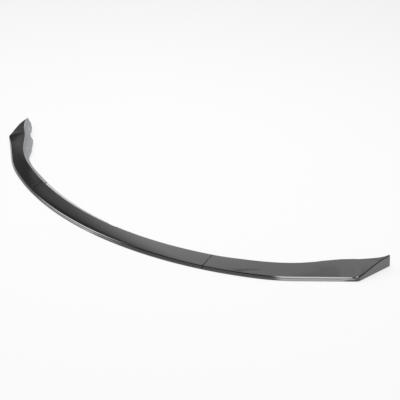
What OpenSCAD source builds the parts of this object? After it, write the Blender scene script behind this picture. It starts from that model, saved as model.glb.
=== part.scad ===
// Front splitter lip in three moulded sections.
// X runs across the car, the nose points along -Y and Z is up. The origin lies
// under the middle of the lip, on the plane of its lower edge.
// Each section is a thin shell: a low front wall, a wide top band, a step
// down behind the band and a mounting flange that the bumper's edge sits on.
// The shell is a loft of one cross-section along the lower outer edge. Each
// cross-section stands on a rib line that runs inward from that edge.

/* [Overall] */
// Width across the two tips
overall_w = 1800; // [1740:5:1860]
// Depth from the nose to the tips
overall_d = 477; // [450:1:510]
// Height of the tips
tip_h = 47; // [42:0.5:54]

/* [Outline] */
// Radius of the nose arc
nose_r = 1350; // [1250:10:1450]
// Sweep of the nose arc from the middle, in degrees
nose_sweep = 26; // [24:0.5:28]
// Radius of the shoulder arc
shoulder_r = 650; // [600:10:700]
// Heading of the straight front of the wings, in degrees
wing_sweep = 38; // [36:0.5:40]
// Length of the straight front of the wings
wing_l = 189; // [180:1:200]
// Radius of the corners in plan
corner_r = 28; // [15:1:40]
// Heading of the returns that run back to the tips, in degrees
return_sweep = 76; // [72:0.5:80]
// Length of the straight returns
return_l = 141; // [130:1:150]
// Slope of the rear edge of the returns, measured over their height
tip_rake = 7; // [0:1:12]

/* [Cross-section] */
// Wall thickness of the moulding
wall_t = 2.5; // [2:0.1:3]
// Height of the front wall
front_h = 12.5; // [11:0.5:15]
// How far the front wall leans back over its height
front_lean = 5; // [2:0.5:7]
// Depth of the shallow groove along the front wall
groove_d = 0.9; // [0:0.1:1.2]
// How far the returns flare outward over their height
flare = 1.3; // [0:0.1:3]
// How far the returns lean inward at the tips
tip_lean = 1.2; // [0.5:0.1:2]
// Width of the top band across the nose
band_w = 58; // [52:1:66]
// Width of the top band at its waist before the wings
waist_w = 54; // [48:1:62]
// Width of the top band at the corners, along the rib line
corner_w = 73; // [66:1:80]
// Width of the top ledge at the tips
tip_ledge = 6; // [6:0.5:10]
// Height of the band's inner edge in the middle of the nose
inner_h = 26; // [24:0.5:29]
// Height of the inner edge at the corners
wing_h = 43; // [38:0.5:46]
// Rise of the band's middle above a straight line
crown = 1.2; // [0:0.1:2.5]
// Size of the rounding along the front crease
crease_blend = 4; // [2:0.5:6]
// Size of the rounding along the inner edge
edge_blend = 2.5; // [1.5:0.5:4]
// Size of the rounding where the step meets the flange
foot_blend = 2; // [1:0.5:3]

/* [Flange] */
// Step down from the inner edge to the flange across the nose
seat_drop = 17; // [14:0.5:18]
// Step down from the inner edge to the flange on the wings
wing_drop = 23.5; // [18:0.5:25]
// Run of the step's sloping wall
seat_run = 6; // [4:0.5:9]
// Run of the step's sloping wall at the tips
tip_run = 11; // [8:0.5:12]
// Width of the flange along the nose, step included
flange_w = 23; // [20:1:28]
// Width of the flange at its neck before the wings
neck_w = 17.5; // [15:0.5:20]
// Width of the flange at the wide lug
lug_w = 33; // [26:0.5:38]
// Width of the flange at the relief between lug and tip tab
relief_w = 24; // [18:0.5:28]
// Width of the tip tab
tab_w = 31.5; // [27:0.5:35]
// Width of the tip tab at its rear end
tab_end_w = 14; // [14:0.5:22]
// Width of the relief in the middle of the nose
middle_gap = 40; // [20:1:60]

/* [Joints between sections] */
// Distance of the seams from the middle
seam_x = 421; // [380:1:460]
// Gap between two sections at a seam
seam_gap = 1.2; // [0.4:0.1:1.5]
// Length of the tongue under the side section
tongue_l = 34; // [28:1:45]
// Width of the tongue
tongue_w = 34; // [30:1:38]
// Height of the tongue's lower face
tongue_z = 4.5; // [4:0.1:5]
// How far the tongue's root lies behind the seam
root_back = 12; // [8:1:16]
// Thickness of the rib that the tongue hangs from
rib_t = 3; // [2:0.5:4]
// Diameter of the joint screws' shanks
screw_d = 4; // [3:0.5:5]
// Length of the joint screws under the head
screw_l = 8; // [7:0.5:9]
// Diameter of the joint screws' heads
screw_head_d = 8; // [7:0.5:10]
// Height of the joint screws' heads
screw_head_h = 2.4; // [2:0.1:3]
// Distance between the two screws of a joint
screw_pitch = 18; // [15:1:20]
// Clearance round the screws in the tongue
screw_clear = 0.3; // [0.2:0.1:0.6]
// Diameter of the bosses that the screws turn into
boss_d = 8; // [7:0.5:10]

/* [Mounting holes] */
// Diameter of the round mounting holes
mount_d = 6; // [5:0.5:8]
// Width of the slot in the tip tab
slot_w = 6; // [5:0.5:8]
// Distance between the slot's end centres
slot_travel = 8; // [4:1:12]
// Distance of the nose holes from the middle
nose_hole_x = 103; // [60:1:300]
// Distance of the hole beyond each seam, along the outer edge
seam_hole_s = 58; // [50:1:90]

/* [Hidden] */
$fn = 48;

// Colours of the painted moulding and of its zinc-plated screws
paint_colour = "#2b2b2c";
steel_colour = "#b9bbbd";

// Places along the outer edge of a wing, measured back from the tip
neck_at = [460, 400];
lug_at = [305, 205];
relief_at = 137;
tab_at = [86, 46];
neck_hole_at = 298;
lug_hole_at = 190;
slot_at = 62;
// How far the front wall stays below the ledge at the tips
tip_fall = 1;
// The groove's edges and middle as [share of the front wall's height, share of the depth]
groove_shape = [[0.44, 0], [0.56, 1], [0.68, 0]];
// How far cutters reach past the faces that they open
past = 1;
// Room round a joint screw in its boss, and past its end
pilot_clear = 0.1;
pilot_spare = 0.5;
// Distance of the bosses from the tongue's end
boss_back = 5;
// Height and inset of the round edge of a screw's head, and the inset of its top
head_edge = 0.6;
head_inset = 0.3;
head_top_inset = 1.2;
// Width and depth of the cross recess in a screw's head
recess_w = 1;
recess_depth = 1.2;

function unit(v) = v/norm(v);
function turn(a) = [cos(a), sin(a)];
function cross2(a, b) = a[0]*b[1] - a[1]*b[0];
function arc_len(r, a) = r*a*PI/180;
function arc_angle(r, s) = s/r*180/PI;
function on_arc(c, r, a) = c + r*[sin(a), -cos(a)];

// A smooth curve through knots [x, y] that has no bumps of its own between them
function slope(k, i) = (k[i + 1][1] - k[i][1])/(k[i + 1][0] - k[i][0]);
function knot_slope(k, i) =
    i == 0 ? 0 :
    i == len(k) - 1 ? slope(k, i - 1) :
    let (a = slope(k, i - 1), b = slope(k, i)) a*b <= 0 ? 0 : 2*a*b/(a + b);
function knot_below(k, x, i = 0) = i >= len(k) - 2 || x < k[i + 1][0] ? i : knot_below(k, x, i + 1);
function curve(k, x) =
    let (
        i = knot_below(k, x),
        w = k[i + 1][0] - k[i][0],
        t = min(1, max(0, (x - k[i][0])/w)),
        u = t*t*(3 - 2*t)
    )
    k[i][1] + (k[i + 1][1] - k[i][1])*u
        + w*t*(1 - t)*((1 - t)*knot_slope(k, i) - t*knot_slope(k, i + 1));

// Outline of one half: nose arc, shoulder arc, straight, corner arc, straight.
// It is stretched a little in X and Y so that its ends meet the overall sizes.
nose_c = [0, nose_r];
shoulder_c = on_arc(nose_c, nose_r - shoulder_r, nose_sweep);
wing_start = on_arc(shoulder_c, shoulder_r, wing_sweep);
corner_start_p = wing_start + wing_l*turn(wing_sweep);
corner_c = corner_start_p + corner_r*turn(wing_sweep + 90);
return_start = on_arc(corner_c, corner_r, return_sweep);
tip = return_start + return_l*turn(return_sweep);
stretch = [overall_w/2/tip[0], overall_d/tip[1]];

// Distances along the outline at which its stretches end
nose_end = arc_len(nose_r, nose_sweep);
shoulder_end = nose_end + arc_len(shoulder_r, wing_sweep - nose_sweep);
wing_end = shoulder_end + wing_l;
corner_end = wing_end + arc_len(corner_r, return_sweep - wing_sweep);
outer_end = corner_end + return_l;

function outline_at(s) =
    s <= nose_end ? on_arc(nose_c, nose_r, arc_angle(nose_r, s)) :
    s <= shoulder_end ? on_arc(shoulder_c, shoulder_r, nose_sweep + arc_angle(shoulder_r, s - nose_end)) :
    s <= wing_end ? wing_start + (s - shoulder_end)*turn(wing_sweep) :
    s <= corner_end ? on_arc(corner_c, corner_r, wing_sweep + arc_angle(corner_r, s - wing_end)) :
    return_start + (s - corner_end)*turn(return_sweep);
function outer_at(s) = let (p = outline_at(s)) [p[0]*stretch[0], p[1]*stretch[1] - overall_d/2];
function s_at_x(x) = arc_len(nose_r, asin(x/stretch[0]/nose_r));
function on_wing(u) = shoulder_end + u*(wing_end - shoulder_end);
function on_return(u) = wing_end + u*(outer_end - wing_end);

// The seams lie in planes across the car
seam_s = s_at_x(seam_x);
seam_turn = arc_angle(nose_r, seam_s);
seam_heading = atan2(stretch[1]*sin(seam_turn), stretch[0]*cos(seam_turn));

// Heading of the rib lines, and their length from the outer to the inner edge
rib_turns = [[0, 0], [seam_s, 0], [nose_end, nose_sweep], [shoulder_end, wing_sweep],
    [on_return(0.06), (wing_sweep + return_sweep)/2], [on_return(0.56), return_sweep - 10],
    [outer_end, return_sweep + 9]];
wing_shares = [[0.32, 0.2], [0.63, 0.65], [1, 1]];
return_shares = [[0.06, 0.98], [0.12, 0.92], [0.27, 0.69], [0.43, 0.49], [0.59, 0.3], [0.74, 0.14],
    [0.87, 0.04], [1, 0]];
rib_lengths = concat(
    [[0, band_w], [seam_s, band_w/cos(seam_heading)], [nose_end, waist_w + 0.5], [shoulder_end, waist_w]],
    [for (k = wing_shares) [on_wing(k[0]), waist_w + k[1]*(corner_w - waist_w)]],
    [for (k = return_shares) [on_return(k[0]), tip_ledge + k[1]*(corner_w - tip_ledge)]]);
function rib_turn(s) = curve(rib_turns, s);
function rib_length(s) = curve(rib_lengths, s);

// Heights of the inner edge and of the front wall, and the wall's lean
edge_shares = [[0, 0], [seam_s, 0.13], [nose_end, 0.5], [shoulder_end, 0.66], [wing_end, 1]];
edge_heights = concat([for (k = edge_shares) [k[0], inner_h + k[1]*(wing_h - inner_h)]],
    [[outer_end, tip_h]]);
wall_shares = [[-0.35, 0], [-0.1, 0.03], [0.06, 0.17], [0.2, 0.29], [0.35, 0.51], [0.5, 0.72],
    [0.65, 0.89], [0.8, 0.96], [1, 1]];
wall_heights = [for (k = wall_shares) [on_return(k[0]), front_h + k[1]*(tip_h - head_edge - front_h)]];
wall_leans = [[on_return(-0.35), front_lean], [on_return(0.2), -flare], [on_return(0.4), -flare],
    [outer_end, tip_lean]];
function edge_height(s) = curve(edge_heights, s);
grooves = [[on_return(-0.1), groove_d], [on_return(0.15), 0], [outer_end, 0]];

// Width of the flange from the inner edge, its step down and the run of the step
flange_widths = [[seam_s, flange_w], [outer_end - neck_at[0], neck_w], [outer_end - neck_at[1], neck_w],
    [outer_end - lug_at[0], lug_w], [outer_end - lug_at[1], lug_w], [outer_end - relief_at, relief_w],
    [outer_end - tab_at[0], tab_w], [outer_end - tab_at[1], tab_w], [outer_end, tab_end_w]];
drops = [[seam_s, seat_drop], [outer_end - lug_at[0], wing_drop], [outer_end, wing_drop]];
runs = [[outer_end - relief_at, seat_run], [outer_end, tip_run]];
function flange_width(s) = curve(flange_widths, s);
function flange_height(s) = edge_height(s) - curve(drops, s);

// Rounds the corner b of a path a-b-c with n steps, starting size away from it
function blend(a, b, c, size, n) =
    let (p = b + unit(a - b)*size, q = b + unit(c - b)*size)
    [for (i = [0:n]) let (t = i/n) (1 - t)*(1 - t)*p + 2*t*(1 - t)*b + t*t*q];
// The point that lies t from both sides of the corner b of a path a-b-c
function inset(a, b, c, t) =
    let (u = unit(a - b), v = unit(c - b))
    b + (u + v)*t/abs(cross2(u, v));
// Three points of a face from p to q that bulges by rise
function bulge(p, q, rise) = [for (t = [0.25, 0.5, 0.75]) p + (q - p)*t + [0, rise*4*t*(1 - t)]];

// The front wall's groove, depth dip, cut square to the line from toe to crease
function groove(toe, crease, dip) = let (u = unit(crease - toe))
    [for (g = groove_shape) toe + (crease - toe)*g[0] + [u[1], -u[0]]*g[1]*dip];

// One skin of the cross-section through its five corners, as [distance inward, height]
function skin(toe, crease, edge, foot, rim, crease_size, edge_size, rise, dip) =
    let (
        band_l = norm(edge - crease),
        crease_arc = blend(toe, crease, edge, min(crease_size, 0.4*band_l), 4),
        edge_arc = blend(crease, edge, foot, min(edge_size, 0.4*band_l), 3)
    )
    concat([toe], groove(toe, crease, dip), crease_arc, bulge(crease_arc[4], edge_arc[0], rise), edge_arc,
        blend(edge, foot, rim, foot_blend, 2), [rim]);

// Closed cross-section at distance s: the outer skin from toe to rim, then the inner skin back
function section(s) =
    let (
        b = rib_length(s),
        z = edge_height(s),
        seat = flange_height(s),
        toe = [0, 0],
        crease = [curve(wall_leans, s), curve(wall_heights, s)],
        edge = [b, z],
        foot = [b + curve(runs, s), seat],
        rim = [b + flange_width(s), seat],
        rise = crown*min(1, norm(edge - crease)/band_w),
        dip = curve(grooves, s),
        outer = skin(toe, crease, edge, foot, rim, crease_blend, edge_blend, rise, dip),
        inner = skin([wall_t*norm(crease)/crease[1], 0], inset(toe, crease, edge, wall_t),
            inset(crease, edge, foot, wall_t), inset(edge, foot, rim, -wall_t), rim - [0, wall_t],
            crease_blend/4, edge_blend/4, rise, dip)
    )
    concat(outer, [for (i = [len(inner) - 1:-1:0]) inner[i]]);

// Puts the point [distance inward, height] of the rib line at s in its place. The
// returns slope forward as they rise, so that their rear edge is raked.
function placed(s, p) =
    let (
        q = outer_at(s) + p[0]*turn(rib_turn(s) + 90),
        rake = tip_rake*max(0, s - corner_end)/(outer_end - corner_end)
    )
    [q[0], q[1] - rake*p[1]/tip_h, p[1]];
function station(s) = [for (p = section(s)) placed(s, p)];
function mirrored(ring) = [for (p = ring) [-p[0], p[1], p[2]]];

// Closed solid through rings of points; each ring is a strip whose first half faces its second
module loft(rings) {
    n = len(rings[0]);
    last = (len(rings) - 1)*n;
    polyhedron(
        points = [for (r = rings) each r],
        faces = concat(
            [for (j = [0:n/2 - 2]) let (k = n - 1 - j) each [[j, k, j + 1], [k, k - 1, j + 1]]],
            [for (i = [0:n:last - n]) for (j = [0:n - 1]) let (k = (j + 1) % n)
                each [[i + j, i + n + k, i + n + j], [i + j, i + k, i + n + k]]],
            [for (j = [0:n/2 - 2]) let (k = n - 1 - j)
                each [[last + j, last + j + 1, last + k], [last + k, last + j + 1, last + k - 1]]]
        ),
        convexity = 10
    );
}

function spread(a, b, n) = [for (i = [0:n - 1]) a + (b - a)*i/n];
half_gap = seam_gap/2;
centre_stations = concat(spread(0, seam_s - half_gap, 14), [seam_s - half_gap]);
side_stations = concat(spread(seam_s + half_gap, nose_end, 7), spread(nose_end, shoulder_end, 8),
    spread(shoulder_end, wing_end, 13), spread(wing_end, corner_end, 5),
    spread(corner_end, outer_end, 17), [outer_end]);

module centre_shell() {
    half = [for (s = centre_stations) station(s)];
    loft(concat([for (i = [len(half) - 1:-1:1]) mirrored(half[i])], half));
}

module side_shell() {
    loft([for (s = side_stations) station(s)]);
}

// Frame on the flange's middle line: X runs along the flange
module on_flange(s) {
    p = placed(s, [rib_length(s) + (curve(runs, s) + flange_width(s))/2, flange_height(s)]);
    translate([p[0], p[1], p[2] - wall_t - past])
        rotate([0, 0, rib_turn(s)])
            children();
}

module flange_hole(s) {
    on_flange(s)
        cylinder(h = wall_t + 2*past, d = mount_d);
}

module flange_slot(s) {
    on_flange(s) {
        for (end = [-1, 1])
            translate([end*slot_travel/2, 0, 0])
                cylinder(h = wall_t + 2*past, d = slot_w);
        translate([-slot_travel/2, -slot_w/2, 0])
            cube([slot_travel, slot_w, wall_t + 2*past]);
    }
}

// Frame of a seam: X along the lip towards the tip, Y inward from the nose's outline
module at_seam() {
    translate([seam_x, outer_at(seam_s)[1], 0])
        rotate([0, 0, seam_heading])
            children();
}

// Height of the middle of the band's wall near a seam, q inward from the outline
function band_middle(q) = let (t = (q - front_lean)/(band_w - front_lean))
    front_h + (edge_height(seam_s) - front_h)*t + crown*4*t*(1 - t) - wall_t/2;

// The joint lies under the middle of the band
tongue_y = band_w/2;
tongue_top = tongue_z + wall_t;
boss_x = tongue_l - boss_d/2 - boss_back;
module joint_places() {
    for (side = [-1, 1])
        translate([boss_x, tongue_y + side*screw_pitch/2, 0])
            children();
}

// Flat tongue that reaches under the side section, hung from a cross rib
module tongue() {
    front = tongue_y - tongue_w/2;
    back = tongue_y + tongue_w/2;
    difference() {
        union() {
            translate([-root_back, front, tongue_z])
                cube([root_back + tongue_l, tongue_w, wall_t]);
            translate([-root_back, 0, 0])
                rotate([90, 0, 90])
                    linear_extrude(rib_t)
                        polygon([[front, tongue_z], [back, tongue_z], [back, band_middle(back)],
                            [tongue_y, band_middle(tongue_y)], [front, band_middle(front)]]);
        }
        joint_places()
            cylinder(h = tongue_top + past, d = screw_d + 2*screw_clear);
    }
}

// Two bosses under the side section that stand on the tongue and take the screws
module bosses() {
    for (side = [-1, 1])
        let (y = tongue_y + side*screw_pitch/2)
            translate([boss_x, y, tongue_top])
                difference() {
                    cylinder(h = band_middle(y) - tongue_top, d = boss_d);
                    translate([0, 0, -past])
                        cylinder(h = past + screw_l - wall_t + pilot_spare, d = screw_d + pilot_clear);
                }
}

module centre_section() {
    color(paint_colour)
    difference() {
        union() {
            centre_shell();
            at_seam() tongue();
            mirror([1, 0, 0]) at_seam() tongue();
        }
        translate([-middle_gap/2, outer_at(0)[1] + band_w + seat_run + foot_blend, 0])
            cube([middle_gap, flange_w, inner_h]);
        flange_hole(s_at_x(nose_hole_x));
        mirror([1, 0, 0]) flange_hole(s_at_x(nose_hole_x));
    }
}

module side_section() {
    difference() {
        union() {
            side_shell();
            at_seam() bosses();
        }
        flange_hole(seam_s + seam_hole_s);
        flange_hole(outer_end - neck_hole_at);
        flange_hole(outer_end - lug_hole_at);
        flange_slot(outer_end - slot_at);
    }
}

module right_section() {
    color(paint_colour) side_section();
}

module left_section() {
    color(paint_colour) mirror([1, 0, 0]) side_section();
}

// Pan-head screw with a cross recess, pointing up from the tongue's lower face
module screw() {
    head_r = screw_head_d/2;
    difference() {
        union() {
            rotate_extrude()
                polygon([[0, -screw_head_h], [head_r - head_top_inset, -screw_head_h],
                    [head_r - head_inset, head_edge - screw_head_h], [head_r, 0], [0, 0]]);
            cylinder(h = screw_l, d = screw_d);
        }
        for (a = [0, 90])
            rotate([0, 0, a])
                translate([-head_r/2, -recess_w/2, -screw_head_h - past])
                    cube([head_r, recess_w, past + recess_depth]);
    }
}

module joint_screws() {
    at_seam()
        joint_places()
            translate([0, 0, tongue_z])
                screw();
}

module right_joint_screws() {
    color(steel_colour) joint_screws();
}

module left_joint_screws() {
    color(steel_colour) mirror([1, 0, 0]) joint_screws();
}

centre_section();
left_section();
right_section();
left_joint_screws();
right_joint_screws();
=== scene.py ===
"""Looks for a front splitter lip in three moulded sections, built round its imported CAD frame.

The sections are lofts worked out with numpy: one cross-section, carried along the outer edge.
Lengths are in metres. X runs across the car, the nose points along -Y and Z is up.
"""

import math

import bpy
import numpy as np
from bpy.props import FloatProperty, FloatVectorProperty, PointerProperty
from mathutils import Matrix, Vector


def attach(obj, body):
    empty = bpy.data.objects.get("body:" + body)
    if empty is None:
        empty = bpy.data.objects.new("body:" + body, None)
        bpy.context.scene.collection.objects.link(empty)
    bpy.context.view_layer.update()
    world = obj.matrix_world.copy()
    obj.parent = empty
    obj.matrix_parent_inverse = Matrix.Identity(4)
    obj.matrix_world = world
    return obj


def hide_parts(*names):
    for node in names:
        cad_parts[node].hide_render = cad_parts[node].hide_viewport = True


bl_info = {
    "name": "Front splitter lip",
    "version": (1, 0, 0),
    "blender": (4, 5, 0),
    "location": "View3D > Sidebar > Splitter",
    "description": "Builds a three-piece front splitter lip with its finishes and a plain studio",
    "category": "Add Mesh",
}

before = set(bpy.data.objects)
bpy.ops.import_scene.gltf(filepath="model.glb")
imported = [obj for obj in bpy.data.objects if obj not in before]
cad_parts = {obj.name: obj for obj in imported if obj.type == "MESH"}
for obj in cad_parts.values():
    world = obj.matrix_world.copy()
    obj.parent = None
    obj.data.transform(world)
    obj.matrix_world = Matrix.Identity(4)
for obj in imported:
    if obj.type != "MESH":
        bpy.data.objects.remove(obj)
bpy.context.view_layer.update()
MM = 0.001


def from_hex(code):
    """Linear colour of an sRGB hex value: c/12.92 below 0.04045, else ((c + 0.055)/1.055)^2.4."""
    srgb = [int(code[i:i + 2], 16)/255 for i in (1, 3, 5)]
    return tuple(c/12.92 if c <= 0.04045 else ((c + 0.055)/1.055)**2.4 for c in srgb)


# Outline in plan, in metres and degrees
NOSE_R = 1350*MM
NOSE_SWEEP = 26
SHOULDER_R = 650*MM
WING_SWEEP = 38
WING_L = 189*MM
CORNER_R = 28*MM
RETURN_SWEEP = 76
RETURN_L = 141*MM
# How far the tips' top leans forward
TIP_RAKE = 7*MM

# Turn of the rib lines over the ledge and at the tip, against the return's heading
LEDGE_TURN = -10
TIP_TURN = 9

# Band and front wall
NOSE_END_W = 54.5*MM
WAIST_W = 54*MM
CORNER_W = 73*MM
# How far the wall flares outward on the return and leans inward at the tip, and how far below the
# tip's top the crease ends
FLARE = 1.3*MM
TIP_LEAN = 1.2*MM
TIP_FALL = 1*MM
# Rise of the band's middle above a straight line across it
CROWN = 1.2*MM
# Middle and half width of the groove, as shares of the wall's height
GROOVE_AT = 0.56
GROOVE_HALF = 0.14
# Length of the tips over which the gloss's edge runs out to the crease, the light grey painted
# reflection taking its place
TIP_GREY = 30*MM

# Roundings of the outer corners, the free edges and a section's ends, and the angles of the last
CREASE_SIZE = 4*MM
EDGE_SIZE = 2.5*MM
FOOT_SIZE = 2*MM
LIP_SIZE = 0.7*MM
END_ROUND = 0.9*MM
END_ANGLES = [25, 45, 65, 90]
# Largest share of a run that one rounding takes, and size of the crease's and the inner edge's
# rounding on the inner skin against the outer one's
ROUND_SHARE = 0.4
INNER_ROUND = 0.25
# How far the matt black that paints the shade of a seam laps from a section's end onto the grey faces
SEAM_SHADE_LAP = 2.4*MM

# Step and flange: how far the flange lies below the band's inner edge, how far inward the step runs,
# and the flange's widths, measured from the inner edge
SEAT_DROP = 17*MM
WING_DROP = 23.5*MM
SEAT_RUN = 6*MM
TIP_RUN = 11*MM
FLANGE_W = 23*MM
NECK_W = 17.5*MM
LUG_W = 33*MM
RELIEF_W = 24*MM
TAB_W = 31.5*MM
TAB_END_W = 14*MM
MIDDLE_GAP = 40*MM

# Places along the outer edge, measured back from the tip, and the holes' sizes
NECK_AT = (460*MM, 400*MM)
LUG_AT = (305*MM, 205*MM)
RELIEF_AT = 137*MM
TAB_AT = (86*MM, 46*MM)
NECK_HOLE_AT = 298*MM
LUG_HOLE_AT = 190*MM
SLOT_AT = 62*MM
SLOT_TRAVEL = 8*MM
NOSE_HOLE_X = 103*MM
SEAM_HOLE_S = 58*MM
HOLE_R = 3*MM

# Joint under each seam, with lengths measured from the seam and heights from below
TONGUE_L = 34*MM
TONGUE_W = 34*MM
TONGUE_Z = 4.5*MM
ROOT_BACK = 12*MM
RIB_T = 3*MM
SCREW_PITCH = 18*MM
SCREW_HOLE_R = 2.3*MM
PILOT_R = 2.05*MM
PILOT_DEPTH = 6*MM
BOSS_R = 4*MM
BOSS_BACK = 9*MM
# Corners in plan of the tongues and the cut-out
PLAN_ROUND = 2*MM
# How deep a shape that is added bites in, and how far a cutter stands out of what it cuts
BITE = 0.2*MM
CUT_OUT = 1*MM
OPENING_BELOW = 5*MM
OPENING_ABOVE = 2*MM

# Spacing of the stations along the edge, and how far the even ones keep from the parts' ends
NOSE_STEP = 5.5*MM
WING_STEP = 5*MM
CORNER_STEP = 1.5*MM
RETURN_STEP = 3*MM
TIP_STEP = 1.5*MM
SEAM_CLEAR = 3*MM
CORNER_CLEAR = 8*MM
TIP_CLEAR = 2*MM

# Points of a round hole or pin, and degrees between the points of a rounded corner
CIRCLE_STEPS = 48
CORNER_TURN = 15
# Two faces that meet at more than this many degrees are shaded with a sharp edge
SHARP_ANGLE = 32


def length_property(name, description, default):
    """A length, shown in the scene's units."""
    return FloatProperty(
        name=name, description=description, subtype="DISTANCE", unit="LENGTH", default=default)


def colour_property(name, description, code):
    """A colour, given by its sRGB hex value."""
    return FloatVectorProperty(
        name=name, description=description, subtype="COLOR", size=3, min=0, max=1,
        default=from_hex(code))


def share_property(name, description, default):
    """A number from 0 to 1."""
    return FloatProperty(name=name, description=description, min=0, max=1, default=default)


def brightness_property(name, description, default):
    """A brightness, 0 or more."""
    return FloatProperty(name=name, description=description, min=0, default=default)


class LipSizes(bpy.types.PropertyGroup):
    """Sizes of the moulding"""
    width: length_property("Width", "Width across the two tips", 1800*MM)
    depth: length_property("Depth", "Depth from the nose to the tips", 477*MM)
    tip_height: length_property("Tip height", "Height of the two tips", 47*MM)
    front_height: length_property("Front height", "Height of the front wall", 12.5*MM)
    front_lean: length_property("Front lean", "How far the front wall leans back", 5*MM)
    groove: length_property("Groove", "Depth of the groove along the front wall", 0.9*MM)
    band_width: length_property("Band width", "Width of the top band across the nose", 58*MM)
    tip_ledge: length_property("Tip ledge", "Width of the top ledge at the tips", 6*MM)
    nose_edge: length_property(
        "Nose edge", "Height of the band's inner edge in the middle of the nose", 26*MM)
    wing_edge: length_property(
        "Wing edge", "Height of the band's inner edge at the corners", 43*MM)
    wall: length_property("Wall", "Wall thickness of the moulding", 2.5*MM)
    seam: length_property("Seam", "Distance of the seams from the middle", 421*MM)
    seam_gap: length_property("Seam gap", "Gap between two sections", 1.2*MM)


class LipFinish(bpy.types.PropertyGroup):
    """Colours and gloss of the finishes"""
    paint: colour_property("Paint", "Gloss black of the painted faces", "#171718")
    # Light grey of the faces behind the gloss: a painted reflection of the white surroundings
    plastic: colour_property("Bare plastic", "Colour of the unpainted plastic", "#98999b")
    # Paler light grey of the centre section: a painted reflection, brighter than on the sides
    centre_plastic: colour_property(
        "Bare centre plastic", "Colour of the centre section's unpainted plastic", "#c4c5c7")
    # Matt black of the sections' ends and the flange beside a seam: painted shade in the gaps
    edge: colour_property("Seam edges", "Matt black of the sections' ends", "#121213")
    zinc: colour_property("Zinc", "Colour of the zinc plating on the screws", "#b9bbbd")
    paint_roughness: share_property("Paint roughness", "Roughness of the paint", 0.09)
    plastic_roughness: share_property("Plastic roughness", "Roughness of the bare plastic", 0.42)


class StudioSettings(bpy.types.PropertyGroup):
    """Light and floor of the studio"""
    floor: colour_property("Floor", "Colour of the floor", "#f6f6f6")
    overhead: brightness_property("Overhead", "Brightness of the overhead softbox", 1.6)
    fill: brightness_property("Fill", "Brightness of the softbox in front", 1.0)
    ambient: brightness_property("Ambient", "Brightness of the surrounding light", 0.35)
    walls: brightness_property("Mirrored walls", "Brightness of the walls in the gloss", 1.15)
    ceiling: brightness_property("Mirrored ceiling", "Brightness of the ceiling in the gloss", 1.6)
    shade: brightness_property("Mirrored shade", "Brightness of the dark flags in the gloss", 0.12)
    front: brightness_property(
        "Mirrored softboxes", "Brightness of the front softboxes in the gloss", 4.4)


# Outline and the sizes that change along it

def heading_vector(degrees):
    """Unit vector of a heading: (cos a, sin a)."""
    a = np.radians(degrees)
    return np.stack([np.cos(a), np.sin(a)], -1)


def on_arc(centre, radius, degrees):
    """Point of an arc that starts at its lowest point: centre + radius (sin a, -cos a)."""
    a = np.radians(degrees)
    return centre + radius*np.stack([np.sin(a), -np.cos(a)], -1)


def cross2(a, b):
    """Cross product of two plane vectors: ax by - ay bx."""
    return a[..., 0]*b[..., 1] - a[..., 1]*b[..., 0]


def curve(knots, x):
    """A smooth curve through knots, with no bump of its own between two of them.

    With t the share of the way from one knot to the next, w their distance and m, n the slopes at
    them: y0 + (y1 - y0)(3t^2 - 2t^3) + w t (1 - t)((1 - t) m - t n). A knot's slope is the harmonic
    mean of the slopes on its two sides, or level where they differ in sign.
    """
    xs, ys = np.array(knots, float).T
    slopes = np.diff(ys)/np.diff(xs)
    before, after = slopes[:-1], slopes[1:]
    product = before*after
    mean = np.where(product > 0, 2*product/np.where(product > 0, before + after, 1), 0)
    at = np.concatenate([[0], mean, slopes[-1:]])
    i = np.clip(np.searchsorted(xs, x, side="right") - 1, 0, len(xs) - 2)
    w = xs[i + 1] - xs[i]
    t = np.clip((x - xs[i])/w, 0, 1)
    rise = (ys[i + 1] - ys[i])*t*t*(3 - 2*t)
    return ys[i] + rise + w*t*(1 - t)*((1 - t)*at[i] - t*at[i + 1])


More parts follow.
